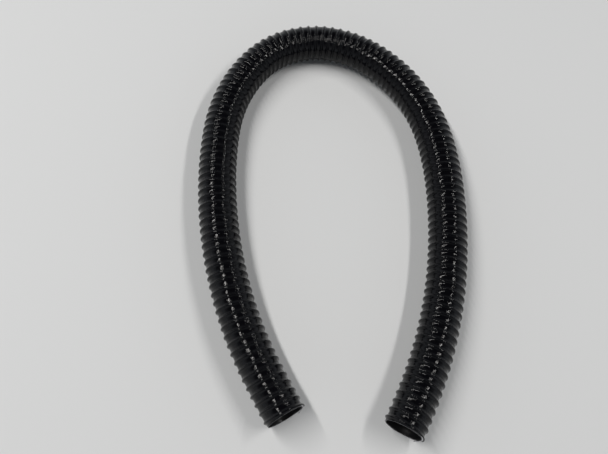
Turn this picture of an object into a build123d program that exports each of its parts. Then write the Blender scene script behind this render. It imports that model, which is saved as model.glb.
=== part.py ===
from build123d import *
import os
from math import pi, radians, sqrt, tan

# A cut length of wire-reinforced vinyl vacuum hose, lying on a flat surface in a horseshoe.
# Units are millimetres. The origin is on the surface, under the middle of the horseshoe.
# +Z is up, and both mouths face roughly -Y.

# driving dimensions
bore_radius = 19.05  # a 1-1/2 in bore
inner_ply_thickness = 0.5
wire_diameter = 1.0
bead_diameter = 1.06  # the vinyl bead that runs on top of the wire and rounds the ridge
outer_ply_thickness = 0.55
pitch = 9.3  # from one turn of the wire to the next
end_setback = 2.2  # from the cut face to the middle of the first turn
fillet_share = 0.45  # how much of the shorter run beside a corner its arc takes up
roundness = 0.99  # the coil's sections are a hair off round: one half width over the other
stretch_gap = 0.05  # a hairline between the stretches that the cover is drawn in

# the corners of the centre line, from the left mouth round to the right one
route = [
    (-55, -238),
    (-81, -193),
    (-109, -126),
    (-129, -42),
    (-136, 52),
    (-127, 144),
    (-84, 217),
    (-24, 244),
    (37, 232),
    (87, 191),
    (121, 133),
    (135, 60),
    (133, -32),
    (118, -121),
    (88, -206),
    (62, -252),
]

# sizes that follow from them
inner_ply_radius = bore_radius + inner_ply_thickness
wire_reach = inner_ply_radius + wire_diameter / 2  # the wire touches the liner at the sides
bead_reach = wire_reach + (wire_diameter + bead_diameter) / 2
bead_radius_over = sqrt(bead_reach**2 + (pitch / 4) ** 2)  # its lean lifts a coil off over the top
outer_ply_bore = bead_radius_over + bead_diameter / 2
outer_radius = outer_ply_bore + outer_ply_thickness
axis_height = outer_radius


def corner_radii(points):
    """The radius at each corner: its arc takes the same share of the shorter run beside it."""
    radii = []
    for before, corner, after in zip(points, points[1:], points[2:]):
        run_in, run_out = corner - before, after - corner
        half_turn = radians(run_in.get_angle(run_out)) / 2
        radii.append(fillet_share * min(run_in.length, run_out.length) / tan(half_turn))
    return radii


def ring(outer, inner):
    return Circle(outer) - Circle(inner)


def tube(outer, inner, path):
    start = Plane(origin=path @ 0, z_dir=path % 0)
    return sweep(start * ring(outer, inner), path=path)


def stretches(path):
    """Each straight end, each arc with the short run after it, and the last arc, in order.

    A hairline taken off the end of each run, or off the start of the last, keeps them apart."""
    edges = path.edges()
    paths = []
    for i in range(-1, len(edges) - 3, 2):
        run = edges[i + 1]
        shorter = Line(run @ 0, run @ 1 - (run % 1) * stretch_gap)
        paths.append(Wire([edges[i], shorter] if i > 0 else [shorter]))
    last_run = edges[-1]
    tail = Line(last_run @ 0 + (last_run % 0) * stretch_gap, last_run @ 1)
    return paths + [Wire([edges[-2]]), Wire([tail])]


def coil_path(centre, reach):
    """One half circle per half turn, over and under by turns.

    They meet at the sides, where the coil runs straight up or straight down."""
    half_turns = int((centre.length - 2 * end_setback) / (pitch / 2))
    spare = centre.length - half_turns * pitch / 2
    sides = []
    for k in range(half_turns + 1):
        distance = spare / 2 + k * pitch / 2
        middle = centre.position_at(distance, position_mode=PositionMode.LENGTH)
        along = centre.tangent_at(distance, position_mode=PositionMode.LENGTH)
        across = along.cross(Vector(0, 0, 1)).normalized()
        sides.append(middle + across * (reach if k % 2 else -reach))
    arcs = []
    for k, (start, end) in enumerate(zip(sides, sides[1:])):
        rise = (end - start).length / 2 * (1 if k % 2 else -1)
        arcs.append(ThreePointArc(start, (start + end) * 0.5 + Vector(0, 0, rise), end))
    return Wire(arcs)


def coil_bar(diameter, path):
    start = Plane(origin=path @ 0, z_dir=path % 0)
    return sweep(start * Ellipse(diameter / 2, roundness * diameter / 2), path=path)


corners = [Vector(x, y, axis_height) for x, y in route]
radii = corner_radii(corners)
centre_line = Wire(FilletPolyline(*corners, radius=radii).edges())
wire_path = coil_path(centre_line, wire_reach)
bead_path = coil_path(centre_line, bead_reach)

# inner_ply: the thin vinyl liner, whose inside is the bore
inner_ply = tube(inner_ply_radius, bore_radius, centre_line)

# spring_wire: the steel helix that holds the bore open
spring_wire = coil_bar(wire_diameter, wire_path)

# ridge_bead: the vinyl bead laid on top of the wire, which welds the two plies to it
ridge_bead = coil_bar(bead_diameter, bead_path)

# outer_ply: the vinyl cover, in stretches that end to end make the whole sleeve
outer_ply = Compound([tube(outer_radius, outer_ply_bore, path).solid() for path in stretches(centre_line)])

nodes = {
    "inner_ply": inner_ply,
    "spring_wire": spring_wire,
    "ridge_bead": ridge_bead,
    "outer_ply": outer_ply,
}

os.makedirs("parts", exist_ok=True)
for name, shape in nodes.items():
    export_step(shape, f"parts/{name}.step")

print("outer radius", round(outer_radius, 4))
print("corner radii", [round(r) for r in radii])
print("centre line", round(centre_line.length, 1), "turns", len(wire_path.edges()) / 2)
for name, outer, inner in (
    ("inner_ply", inner_ply_radius, bore_radius),
    ("outer_ply", outer_radius, outer_ply_bore),
):
    section = pi * (outer**2 - inner**2)
    print(name, "volume over section times length", round(nodes[name].volume / section / centre_line.length, 4))
for name, diameter, path in (
    ("spring_wire", wire_diameter, wire_path),
    ("ridge_bead", bead_diameter, bead_path),
):
    section = pi * roundness * diameter**2 / 4
    print(name, "volume over section times length", round(nodes[name].volume / section / path.length, 4))
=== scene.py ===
import math

import bmesh
import bpy
import numpy as np
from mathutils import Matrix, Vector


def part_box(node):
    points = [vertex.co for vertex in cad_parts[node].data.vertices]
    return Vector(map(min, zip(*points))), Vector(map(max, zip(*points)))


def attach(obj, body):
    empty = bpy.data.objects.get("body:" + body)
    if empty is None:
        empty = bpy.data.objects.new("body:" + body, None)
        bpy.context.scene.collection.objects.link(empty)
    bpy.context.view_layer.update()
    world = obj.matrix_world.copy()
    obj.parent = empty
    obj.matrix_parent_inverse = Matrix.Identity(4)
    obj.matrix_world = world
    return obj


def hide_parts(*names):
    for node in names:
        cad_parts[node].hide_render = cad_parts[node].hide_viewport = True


# A ribbed black vinyl vacuum hose around a spring wire, cut bare at both ends and laid in a
# horseshoe. Everything is in metres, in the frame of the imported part.

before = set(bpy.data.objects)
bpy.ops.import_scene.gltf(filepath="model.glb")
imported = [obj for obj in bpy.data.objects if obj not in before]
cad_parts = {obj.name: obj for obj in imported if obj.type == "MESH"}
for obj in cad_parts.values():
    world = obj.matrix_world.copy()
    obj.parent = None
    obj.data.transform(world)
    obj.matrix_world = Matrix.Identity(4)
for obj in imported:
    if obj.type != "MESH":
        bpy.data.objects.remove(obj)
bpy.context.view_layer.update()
coverLow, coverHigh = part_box("outer_ply")

hose = {
    "ridgeRadius": (coverHigh[2] - coverLow[2]) / 2,
    "turns": 121.5,  # of the wire, from one mouth to the other
    "aroundSteps": 40,  # mesh steps round the hose
    "pitchWander": 0.035,  # how far a turn strays from its even place, in turns
    # the three slow waves of that straying: each one's size, rate per turn and start
    "wanderWaves": [(1, 0.9, 0), (0.6, 2.3, 1), (0.4, 0.31, 2)],
    "curveSteps": 24,  # points on the middle line for each corner of the route
    "bendWindow": 25,  # how many of those points the bend is averaged over
    "tableSize": 6000,  # entries in the table between turns and lengths
    # the route's corners on the floor, from the left mouth round to the right one
    "route": [
        (-0.055, -0.238),
        (-0.081, -0.193),
        (-0.109, -0.126),
        (-0.129, -0.042),
        (-0.136, 0.052),
        (-0.127, 0.144),
        (-0.084, 0.217),
        (-0.024, 0.244),
        (0.037, 0.232),
        (0.087, 0.191),
        (0.121, 0.133),
        (0.135, 0.060),
        (0.133, -0.032),
        (0.118, -0.121),
        (0.088, -0.206),
        (0.062, -0.252),
    ],
}


def addToScene(name, data):
    thing = bpy.data.objects.new(name, data)
    bpy.context.scene.collection.objects.link(thing)
    return thing


def traceSpine():
    # the smooth line that a quadratic spline draws with the route's corners as its control points
    curve = bpy.data.curves.new("spineCurve", "CURVE")
    curve.dimensions = "3D"
    curve.resolution_u = hose["curveSteps"]
    spline = curve.splines.new("NURBS")
    spline.points.add(len(hose["route"]) - 1)
    for point, (x, y) in zip(spline.points, hose["route"]):
        point.co = (x, y, hose["ridgeRadius"], 1)
    spline.order_u = 3
    spline.use_endpoint_u = True
    holder = addToScene("spineHolder", curve)
    line = bpy.data.meshes.new_from_object(holder)
    points = np.empty(len(line.vertices) * 3)
    line.vertices.foreach_get("co", points)
    bpy.data.objects.remove(holder)
    bpy.data.curves.remove(curve)
    bpy.data.meshes.remove(line)
    return points.reshape(-1, 3)


spine = traceSpine()
spineSteps = np.linalg.norm(np.diff(spine, axis=0), axis=1)
spineRun = np.concatenate([[0], np.cumsum(spineSteps)])  # the length along the spine at each point
hoseLength = spineRun[-1]
pitch = hoseLength / hose["turns"]
headings = np.unwrap(np.arctan2(np.gradient(spine[:, 1]), np.gradient(spine[:, 0])))
bendWeights = np.hanning(hose["bendWindow"])
bendWeights = bendWeights / bendWeights.sum()
bends = np.convolve(np.gradient(headings, spineRun), bendWeights, "same")
print("spine traced, length", round(float(hoseLength), 4), "pitch", round(float(pitch), 5))


def placeOnHose(run, angle, radius):
    # a point that far along the middle line, then out by the radius, the angle being from the
    # right-hand side towards the top; past a mouth the line carries straight on
    inside = np.clip(run, 0, hoseLength)
    heading = np.interp(inside, spineRun, headings)
    x = np.interp(inside, spineRun, spine[:, 0]) + (run - inside) * np.cos(heading)
    y = np.interp(inside, spineRun, spine[:, 1]) + (run - inside) * np.sin(heading)
    z = hose["ridgeRadius"] + radius * np.sin(angle)
    out = radius * np.cos(angle)
    return np.stack([x + out * np.sin(heading), y - out * np.cos(heading), z], axis=-1)


def turnToRun(turn):
    # even turns, each shifted a little by the slow waves; no shift at the mouths
    wander = sum(size * np.sin(rate * turn + start) for size, rate, start in hose["wanderWaves"])
    fade = np.clip(np.minimum(turn, hose["turns"] - turn), 0, 1)
    return (turn + hose["pitchWander"] * fade * wander / 2) * pitch


turnTable = np.linspace(-1, hose["turns"] + 1, hose["tableSize"])
runTable = turnToRun(turnTable)


def filmRows(rowsPerTurn, crowding):
    # rows at even steps, drawn towards each ridge by a sine wave
    steps = np.arange(math.ceil(hose["turns"] + 1) * rowsPerTurn + 1) / rowsPerTurn
    return steps - crowding * np.sin(2 * np.pi * steps) / (2 * np.pi)


def filmSide(rowsPerTurn, crowding, radiusAt):
    # grid of rows along the coil and columns round it; a row climbs by one turn as it goes round,
    # and rows past a mouth are held at the cut
    around = hose["aroundSteps"]
    rows = filmRows(rowsPerTurn, crowding)[:, None] - 1
    angle = 2 * np.pi * np.arange(around + 1)[None, :] / around
    run = np.interp(rows + angle / (2 * np.pi), turnTable, runTable)
    run = np.clip(run, 0, hoseLength)
    phase = np.interp(run, runTable, turnTable) - angle / (2 * np.pi)
    places = placeOnHose(run, angle + 0 * run, radiusAt(phase, run, angle))

    # points held at a cut weld to the rim, and the last column is the first one, a turn on
    own = np.arange(run.size).reshape(run.shape)
    last = len(rows) - 1
    index = np.where(run <= 0, own[0], own)
    index = np.where(run >= hoseLength, own[last], index)
    nextTurn = np.minimum(np.arange(last + 1) + rowsPerTurn, last)
    index[:, around] = index[nextTurn, 0]

    corners = np.stack([own[:-1, :-1], own[:-1, 1:], own[1:, 1:], own[1:, :-1]], axis=-1)
    corners = corners.reshape(-1, 4)
    triangles = np.concatenate([corners[:, [0, 1, 2]], corners[:, [0, 2, 3]]])
    welded = index.reshape(-1)[triangles]
    real = np.all(welded != np.roll(welded, -1, axis=1), axis=1)  # no two corners welded together
    uv = np.stack([phase, angle / (2 * np.pi) + 0 * phase], axis=-1).reshape(-1, 2)
    return {"places": places.reshape(-1, 3), "welded": welded[real], "uv": uv[triangles[real]],
            "rims": (index[0], index[last])}


def makeFilm(name, outer, inner):
    # the outer side, the inner side turned over, and a flat ring at each mouth
    shift = len(outer["places"])
    places = np.concatenate([outer["places"], inner["places"]])
    parts = [outer["welded"], inner["welded"][:, ::-1] + shift]
    uvs = [outer["uv"], inner["uv"][:, ::-1]]
    for outerRim, innerRim in zip(outer["rims"], inner["rims"]):
        outerHere, outerNext = outerRim[:-1], outerRim[1:]
        innerHere, innerNext = innerRim[:-1] + shift, innerRim[1:] + shift
        ring = np.concatenate([np.stack([outerHere, outerNext, innerNext], axis=-1),
                               np.stack([outerHere, innerNext, innerHere], axis=-1)])
        parts.append(ring)
        uvs.append(np.zeros((len(ring), 3, 2)))
    faces = np.concatenate(parts)
    isRim = np.arange(len(faces)) >= len(faces) - len(parts[-1]) - len(parts[-2])
    used, faces = np.unique(faces, return_inverse=True)
    return makeMesh(name, places[used], faces.reshape(-1, 3), np.concatenate(uvs), isRim)


def makeMesh(name, places, faces, uvs, isRim):
    # triangles, smooth but for the rims, which take the second material
    mesh = bpy.data.meshes.new(name)
    mesh.vertices.add(len(places))
    mesh.vertices.foreach_set("co", places.reshape(-1))
    mesh.loops.add(faces.size)
    mesh.loops.foreach_set("vertex_index", faces.reshape(-1).astype(np.int32))
    mesh.polygons.add(len(faces))
    mesh.polygons.foreach_set("loop_start", np.arange(0, faces.size, 3, dtype=np.int32))
    mesh.polygons.foreach_set("loop_total", np.full(len(faces), 3, dtype=np.int32))
    mesh.polygons.foreach_set("material_index", isRim.astype(np.int32))
    mesh.polygons.foreach_set("use_smooth", ~isRim)
    layer = mesh.uv_layers.new(name="coilMap")
    layer.data.foreach_set("uv", uvs.reshape(-1))
    mesh.update(calc_edges=True)
    mesh.validate()
    shell = bmesh.new()
    shell.from_mesh(mesh)
    bmesh.ops.recalc_face_normals(shell, faces=shell.faces)
    shell.to_mesh(mesh)
    shell.free()
    print(name, "made,", len(faces), "faces")
    return addToScene(name, mesh)


cover = {
    "valleyDepth": 0.0019,  # from the ridge's crown to the floor of the valley
    "ridgeRound": 0.0015,  # the radius of the ridge's crown
    "crownEdge": 0.98,  # how far down its round the crown goes before it falls away
    "crownFall": 4,  # how steeply it then falls
    "filmLift": 0.0007,  # how much the film rises from mid valley to the foot of the ridge
    "footBlend": 0.00022,  # how softly the film meets the foot of the ridge
    "bendPinch": 0.6,  # how much deeper a valley gets as its turns close up
    "crumple": 0.16,  # how uneven the valleys are
    "thickness": 0.0005,
    "rowsPerTurn": 12,  # mesh rows along each turn, outside and inside
    "innerRowsPerTurn": 8,
    "ridgeCrowding": 0.72,  # how much those rows gather at the ridges
}


def coverRadius(phase, run, angle):
    # a round crown over the wire, and between crowns a film that sags to a shallow parabola; a
    # soft maximum joins them, and the sag grows where the hose's bend closes the turns
    away = np.abs(phase - np.round(phase))
    across = away * pitch
    closing = np.interp(run, spineRun, -bends) * hose["ridgeRadius"] * np.cos(angle)
    uneven = np.sin(2.1 * phase + 2 * angle) * np.sin(0.77 * phase - 3 * angle + 1)  # crossed waves
    depth = cover["valleyDepth"] * (1 + cover["bendPinch"] * closing + cover["crumple"] * uneven)
    film = hose["ridgeRadius"] - depth + cover["filmLift"] * (1 - 2 * away) ** 2
    crownRound = cover["ridgeRound"]
    crown = hose["ridgeRadius"] - crownRound
    crown = crown + np.sqrt(np.maximum(crownRound**2 - across**2, 0))
    crown = crown - np.maximum(across - cover["crownEdge"] * crownRound, 0) * cover["crownFall"]
    blend = cover["footBlend"]
    return film + blend * np.logaddexp(0, (crown - film) / blend)


def coverInside(phase, run, angle):
    return coverRadius(phase, run, angle) - cover["thickness"]


def makeCover():
    outer = filmSide(cover["rowsPerTurn"], cover["ridgeCrowding"], coverRadius)
    inner = filmSide(cover["innerRowsPerTurn"], cover["ridgeCrowding"], coverInside)
    return makeFilm("coverFilm", outer, inner)


liner = {
    "boreRadius": 0.01905,
    "thickness": 0.0005,
    "bulge": 0.0003,  # how far the film gives outwards between the turns
    "rowsPerTurn": 6,
    "ridgeCrowding": 0.3,
}


def linerRadius(phase, run, angle):
    # the bore's radius at each turn of the wire, and a raised cosine more between them
    return liner["boreRadius"] + liner["bulge"] * (1 - np.cos(2 * np.pi * phase)) / 2


def linerOutside(phase, run, angle):
    return linerRadius(phase, run, angle) + liner["thickness"]


def makeLiner():
    inner = filmSide(liner["rowsPerTurn"], liner["ridgeCrowding"], linerRadius)
    outer = filmSide(liner["rowsPerTurn"], liner["ridgeCrowding"], linerOutside)
    return makeFilm("linerFilm", outer, inner)


wire = {
    "radius": 0.0005,
    "reach": 0.02008,  # of the wire's middle from the hose's
    "sides": 8,
    "stepsPerTurn": 36,
    "tail": 0.12,  # how far the cut wire runs past each mouth, in turns
    "tailSpring": 1.4,  # how much steeper than the coil a tail springs out
}
bead = {
    "radius": 0.00053,
    "reach": 0.02112,  # the bead lies on top of the wire, under the crown of the ridge
    "sides": 8,
    "stepsPerTurn": 44,
    "tail": 0.01,
    "tailSpring": 1.4,
}


def makeCoil(name, strand):
    # a round section carried along the coil, which goes once round the hose for each pitch
    tail, sides = strand["tail"], strand["sides"]
    count = int(hose["turns"] * strand["stepsPerTurn"]) + 1
    turns = np.linspace(-tail, hose["turns"] + tail, count)
    within = np.clip(turns, 0, hose["turns"])
    run = np.interp(within, turnTable, runTable) + (turns - within) * pitch * strand["tailSpring"]
    angle = 2 * np.pi * turns
    path = placeOnHose(run, angle, strand["reach"] + 0 * run)
    outward = placeOnHose(run, angle, strand["reach"] + 0.001 + 0 * run) - path
    outward /= np.linalg.norm(outward, axis=1)[:, None]
    ahead = np.gradient(path, axis=0)
    ahead /= np.linalg.norm(ahead, axis=1)[:, None]
    sideways = np.cross(ahead, outward)
    around = 2 * np.pi * np.arange(sides) / sides
    ring = (np.cos(around)[None, :, None] * outward[:, None]
            + np.sin(around)[None, :, None] * sideways[:, None])
    places = (path[:, None] + strand["radius"] * ring).reshape(-1, 3)
    places = np.concatenate([places, path[[0, -1]]])  # and the middle of each cut end

    index = np.arange(count * sides).reshape(count, sides)
    follow = np.roll(index, -1, axis=1)
    quads = np.stack([index[:-1], follow[:-1], follow[1:], index[1:]], axis=-1).reshape(-1, 4)
    triangles = np.concatenate([quads[:, [0, 1, 2]], quads[:, [0, 2, 3]]])
    start, end = count * sides, count * sides + 1
    caps = np.concatenate([np.stack([follow[0], index[0], np.full(sides, start)], axis=-1),
                           np.stack([index[-1], follow[-1], np.full(sides, end)], axis=-1)])
    faces = np.concatenate([triangles, caps])
    lengthwise = np.concatenate([np.repeat(turns, sides), turns[[0, -1]]])
    crosswise = np.concatenate([np.tile(around / (2 * np.pi), count), [0, 0]])
    uvs = np.stack([lengthwise, crosswise], axis=-1)[faces]
    isCap = np.arange(len(faces)) >= len(triangles)
    return makeMesh(name, places, faces, uvs, isCap)


def startMaterial(name):
    material = bpy.data.materials.new(name)
    material.use_nodes = True
    nodes = material.node_tree.nodes
    return material, nodes, material.node_tree.links, nodes["Principled BSDF"]


def addNode(nodes, kind, values=None, **settings):
    node = nodes.new(kind)
    for key, setting in settings.items():
        setattr(node, key, setting)
    for key, value in (values or {}).items():
        node.inputs[key].default_value = value
    return node


def addRange(nodes, fromEnds, toEnds=(0, 1), shape="LINEAR"):
    # takes the first pair of ends to the second
    return addNode(nodes, "ShaderNodeMapRange",
                   {"From Min": fromEnds[0], "From Max": fromEnds[1],
                    "To Min": toEnds[0], "To Max": toEnds[1]}, interpolation_type=shape)


skin = {
    "peelScale": 2600.0,  # a fine orange peel
    "peelDepth": 0.08,
    "cloudScale": 46.0,  # slow drifts between glossy and dull
    "cloudEnds": (0.3, 0.7),
    "scuffEdge": (0.60, 0.76),  # where a scuff starts, and where it is full
    "scuffDulling": 0.2,  # how much rougher a full scuff is
    "ior": 1.46,
}


def makeVinylGroup():
    # the film's skin: long soft crinkles, a fine orange peel and thin scuffs
    group = bpy.data.node_groups.new("vinylSkin", "ShaderNodeTree")
    for name, kind in (("Vector", "NodeSocketVector"), ("crinkleScale", "NodeSocketFloat"),
                       ("crinkleDepth", "NodeSocketFloat"), ("scuffScale", "NodeSocketFloat")):
        group.interface.new_socket(name, in_out="INPUT", socket_type=kind)
    for name in ("Height", "Gloss", "Scuff"):
        group.interface.new_socket(name, in_out="OUTPUT", socket_type="NodeSocketFloat")
    nodes, links = group.nodes, group.links
    given, made = nodes.new("NodeGroupInput"), nodes.new("NodeGroupOutput")
    noise = "ShaderNodeTexNoise"
    crinkle = addNode(nodes, noise, {"Detail": 3.0, "Roughness": 0.55, "Distortion": 0.6})
    peel = addNode(nodes, noise, {"Scale": skin["peelScale"], "Detail": 1.0})
    scuff = addNode(nodes, noise, {"Detail": 4.0, "Roughness": 0.7})
    cloud = addNode(nodes, noise, {"Scale": skin["cloudScale"], "Detail": 2.0})
    for texture in (crinkle, peel, scuff, cloud):
        links.new(given.outputs["Vector"], texture.inputs["Vector"])
    links.new(given.outputs["crinkleScale"], crinkle.inputs["Scale"])
    links.new(given.outputs["scuffScale"], scuff.inputs["Scale"])
    deep = addNode(nodes, "ShaderNodeMath", operation="MULTIPLY")
    links.new(crinkle.outputs["Fac"], deep.inputs[0])
    links.new(given.outputs["crinkleDepth"], deep.inputs[1])
    fine = addNode(nodes, "ShaderNodeMath", {1: skin["peelDepth"]}, operation="MULTIPLY_ADD")
    links.new(peel.outputs["Fac"], fine.inputs[0])
    links.new(deep.outputs[0], fine.inputs[2])
    links.new(fine.outputs[0], made.inputs["Height"])
    sharp = addRange(nodes, skin["scuffEdge"], shape="SMOOTHSTEP")
    links.new(scuff.outputs["Fac"], sharp.inputs["Value"])
    links.new(sharp.outputs["Result"], made.inputs["Scuff"])
    links.new(cloud.outputs["Fac"], made.inputs["Gloss"])
    return group


vinylSkin = makeVinylGroup()


def vinylMaterial(name, look):
    # black vinyl: its colour and roughness drift with the skin's clouds and lighten at the scuffs
    material, nodes, links, shader = startMaterial(name)
    place = nodes.new("ShaderNodeTexCoord")
    surface = addNode(nodes, "ShaderNodeGroup", node_tree=vinylSkin)
    for key in ("crinkleScale", "crinkleDepth", "scuffScale"):
        surface.inputs[key].default_value = look[key]
    links.new(place.outputs["Object"], surface.inputs["Vector"])
    tint = addNode(nodes, "ShaderNodeMix", {"A": (*look["color"], 1), "B": (*look["scuffColor"], 1)},
                   data_type="RGBA")
    links.new(surface.outputs["Scuff"], tint.inputs["Factor"])
    links.new(tint.outputs["Result"], shader.inputs["Base Color"])
    dull = addRange(nodes, skin["cloudEnds"], look["roughness"])
    links.new(surface.outputs["Gloss"], dull.inputs["Value"])
    scratched = addNode(nodes, "ShaderNodeMath", {1: skin["scuffDulling"]},
                        operation="MULTIPLY_ADD", use_clamp=True)
    links.new(surface.outputs["Scuff"], scratched.inputs[0])
    links.new(dull.outputs["Result"], scratched.inputs[2])
    links.new(scratched.outputs[0], shader.inputs["Roughness"])
    height = surface.outputs["Height"]
    if "seamSpan" in look:
        height = addLapSeam(nodes, links, height, look)
    bump = addNode(nodes, "ShaderNodeBump",
                   {"Strength": look["bumpStrength"], "Distance": look["bumpDistance"]})
    links.new(height, bump.inputs["Height"])
    links.new(bump.outputs["Normal"], shader.inputs["Normal"])
    shader.inputs["IOR"].default_value = skin["ior"]
    shader.inputs["Specular IOR Level"].default_value = look["gloss"]
    return material


def addLapSeam(nodes, links, height, look):
    # the strip that the film is wound from overlaps itself by a step that runs along every valley
    start, crest, end = look["seamSpan"]
    coilMap = addNode(nodes, "ShaderNodeUVMap", uv_map="coilMap")
    split = nodes.new("ShaderNodeSeparateXYZ")
    links.new(coilMap.outputs["UV"], split.inputs["Vector"])
    phase = addNode(nodes, "ShaderNodeMath", operation="FRACT")
    links.new(split.outputs["X"], phase.inputs[0])
    step = addRange(nodes, (start, crest), shape="SMOOTHSTEP")
    links.new(phase.outputs[0], step.inputs["Value"])
    fall = addRange(nodes, (crest, end), (1, 0), "SMOOTHSTEP")
    links.new(phase.outputs[0], fall.inputs["Value"])
    ridge = addNode(nodes, "ShaderNodeMath", operation="MULTIPLY")
    links.new(step.outputs["Result"], ridge.inputs[0])
    links.new(fall.outputs["Result"], ridge.inputs[1])
    total = addNode(nodes, "ShaderNodeMath", {1: look["seamHeight"]}, operation="MULTIPLY_ADD")
    links.new(ridge.outputs[0], total.inputs[0])
    links.new(height, total.inputs[2])
    return total.outputs[0]


coverLook = {
    "color": (0.0024, 0.0024, 0.0034),
    "scuffColor": (0.008, 0.008, 0.010),
    "roughness": (0.06, 0.13),
    "gloss": 0.24,
    "crinkleScale": 210.0,
    "crinkleDepth": 1.0,
    "scuffScale": 420.0,
    "bumpStrength": 0.55,
    "bumpDistance": 0.0005,
    "seamSpan": (0.405, 0.44, 0.86),  # where the lap rises, crests and is gone, in turns
    "seamHeight": 0.22,
}
linerLook = {
    "color": (0.009, 0.009, 0.010),
    "scuffColor": (0.03, 0.03, 0.033),
    "roughness": (0.28, 0.42),
    "gloss": 0.4,
    "crinkleScale": 160.0,
    "crinkleDepth": 0.7,
    "scuffScale": 300.0,
    "bumpStrength": 0.4,
    "bumpDistance": 0.0004,
}
beadLook = {
    "color": (0.02, 0.02, 0.022),
    "scuffColor": (0.06, 0.06, 0.065),
    "roughness": (0.25, 0.38),
    "gloss": 0.4,
    "crinkleScale": 500.0,
    "crinkleDepth": 0.5,
    "scuffScale": 800.0,
    "bumpStrength": 0.3,
    "bumpDistance": 0.0002,
}
# the cut faces: their light grey is a painted highlight standing in for the light line along each
# rim, not the black vinyl's own colour; the lighter scuffs on them are wear
paintedHighlightCutLook = {
    "color": (0.15, 0.15, 0.16),
    "scuffColor": (0.32, 0.32, 0.34),
    "roughness": (0.45, 0.6),
    "gloss": 0.4,
    "crinkleScale": 900.0,
    "crinkleDepth": 1.0,
    "scuffScale": 1300.0,
    "bumpStrength": 0.6,
    "bumpDistance": 0.0002,
}

steelLook = {
    "dark": (0.50, 0.50, 0.52),
    "light": (0.78, 0.78, 0.80),
    "roughness": (0.18, 0.40),
    "grooveStretch": (3.0, 60.0, 1.0),  # along the wire and round it
    "grooveScale": 2.0,
    "bumpStrength": 0.25,
    "bumpDistance": 0.00005,
}


def steelMaterial():
    # bright drawn wire: fine grooves along it, dulled here and there
    material, nodes, links, shader = startMaterial("springSteel")
    coilMap = addNode(nodes, "ShaderNodeUVMap", uv_map="coilMap")
    stretch = addNode(nodes, "ShaderNodeMapping", {"Scale": steelLook["grooveStretch"]})
    links.new(coilMap.outputs["UV"], stretch.inputs["Vector"])
    grooves = addNode(nodes, "ShaderNodeTexNoise",
                      {"Scale": steelLook["grooveScale"], "Detail": 4.0, "Roughness": 0.6})
    links.new(stretch.outputs["Vector"], grooves.inputs["Vector"])
    shade = addNode(nodes, "ShaderNodeMix",
                    {"A": (*steelLook["dark"], 1), "B": (*steelLook["light"], 1)},
                    data_type="RGBA")
    links.new(grooves.outputs["Fac"], shade.inputs["Factor"])
    links.new(shade.outputs["Result"], shader.inputs["Base Color"])
    dull = addRange(nodes, (0, 1), steelLook["roughness"])
    links.new(grooves.outputs["Fac"], dull.inputs["Value"])
    links.new(dull.outputs["Result"], shader.inputs["Roughness"])
    bump = addNode(nodes, "ShaderNodeBump", {"Strength": steelLook["bumpStrength"],
                                             "Distance": steelLook["bumpDistance"]})
    links.new(grooves.outputs["Fac"], bump.inputs["Height"])
    links.new(bump.outputs["Normal"], shader.inputs["Normal"])
    shader.inputs["Metallic"].default_value = 1
    return material


coverFilm = makeCover()
linerFilm = makeLiner()
wireCoil = makeCoil("wireCoil", wire)
beadCoil = makeCoil("beadCoil", bead)

# the cut faces' material, painted light grey as a highlight along the rims
cutEdgePaintedHighlight = vinylMaterial("cutEdgePaintedHighlight", paintedHighlightCutLook)
steel = steelMaterial()
# each piece with the CAD node it stands for, its slot, and its materials: the skin, then the cuts,
# whose light grey is a painted highlight along the rims
finishes = (
    (coverFilm, "outer_ply", "cover_vinyl", [vinylMaterial("coverVinyl", coverLook), cutEdgePaintedHighlight]),
    (linerFilm, "inner_ply", "liner_vinyl", [vinylMaterial("linerVinyl", linerLook), cutEdgePaintedHighlight]),
    (beadCoil, "ridge_bead", "bead_vinyl", [vinylMaterial("beadVinyl", beadLook), cutEdgePaintedHighlight]),
    (wireCoil, "spring_wire", "spring_steel", [steel, steel]),
)
for piece, node, slotName, materials in finishes:
    for material in materials:
        piece.data.materials.append(material)
    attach(piece, "root")
    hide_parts(node)
print("finishes set")


room = {
    "floorHalf": 2.2,
    "floorColor": (0.70, 0.71, 0.72),
    "floorRoughness": 0.85,
    "skyColor": (0.80, 0.84, 0.88),
    "skyHeights": (0.15, 0.75),  # the sines of the angles that the walls end and the ceiling starts
    "skyStrengths": (0.75, 0.015),  # of the walls and of the ceiling
    "lampHeight": 2.5,
    "lampColor": (1.0, 0.98, 0.95),
    # each ceiling lamp: its two ends on the plan, its width and its power
    "lamps": [
        {"name": "leftLamp", "ends": ((-0.95, -0.8), (-2.0, 1.8)), "width": 0.14, "power": 60.0},
        {"name": "rightLamp", "ends": ((1.55, -0.9), (1.85, 1.1)), "width": 0.12, "power": 40.0},
    ],
}


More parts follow.
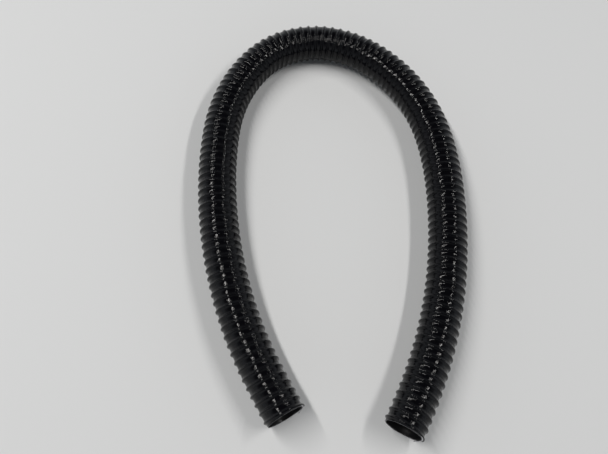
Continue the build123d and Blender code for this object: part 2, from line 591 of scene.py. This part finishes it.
def makeFloor():
    half = room["floorHalf"]
    corners = [(-half, -half, 0), (half, -half, 0), (half, half, 0), (-half, half, 0)]
    mesh = bpy.data.meshes.new("floor")
    mesh.from_pydata(corners, [], [(0, 1, 2, 3)])
    floor = addToScene("floor", mesh)
    material, _, _, shader = startMaterial("paleFloor")
    shader.inputs["Base Color"].default_value = (*room["floorColor"], 1)
    shader.inputs["Roughness"].default_value = room["floorRoughness"]
    mesh.materials.append(material)


def makeLamp(lamp):
    # a long flat light between the two ends, facing straight down
    (x0, y0), (x1, y1) = lamp["ends"]
    data = bpy.data.lights.new(lamp["name"], "AREA")
    data.shape = "RECTANGLE"
    data.size = math.hypot(x1 - x0, y1 - y0)
    data.size_y = lamp["width"]
    data.energy = lamp["power"]
    data.color = room["lampColor"]
    light = addToScene(lamp["name"], data)
    light.location = ((x0 + x1) / 2, (y0 + y1) / 2, room["lampHeight"])
    light.rotation_euler = (0, 0, math.atan2(y1 - y0, x1 - x0))


def makeSky():
    # a dim ceiling over bright walls: the strength falls smoothly with height
    world = bpy.data.worlds.new("paleRoom")
    world.use_nodes = True
    nodes, links = world.node_tree.nodes, world.node_tree.links
    background = nodes["Background"]
    background.inputs["Color"].default_value = (*room["skyColor"], 1)
    place = nodes.new("ShaderNodeTexCoord")
    split = nodes.new("ShaderNodeSeparateXYZ")
    links.new(place.outputs["Generated"], split.inputs["Vector"])
    fall = addRange(nodes, room["skyHeights"], room["skyStrengths"], "SMOOTHSTEP")
    links.new(split.outputs["Z"], fall.inputs["Value"])
    links.new(fall.outputs["Result"], background.inputs["Strength"])
    bpy.context.scene.world = world


view = {
    "lens": 37.895,
    "sensorWidth": 36,
    "nearest": 0.01,
    "place": (-0.0696, -0.3420, 0.6770),
    "tilts": (25.58, -2.72, -0.93),  # degrees about x, y and z
}


def makeCamera():
    data = bpy.data.cameras.new("viewCamera")
    data.sensor_width = view["sensorWidth"]
    data.lens = view["lens"]
    data.clip_start = view["nearest"]
    camera = addToScene("viewCamera", data)
    camera.location = view["place"]
    camera.rotation_euler = [math.radians(tilt) for tilt in view["tilts"]]
    bpy.context.scene.camera = camera


bpy.context.scene.view_settings.view_transform = "Standard"
makeFloor()
for lamp in room["lamps"]:
    makeLamp(lamp)
makeSky()
makeCamera()
print("stage set")
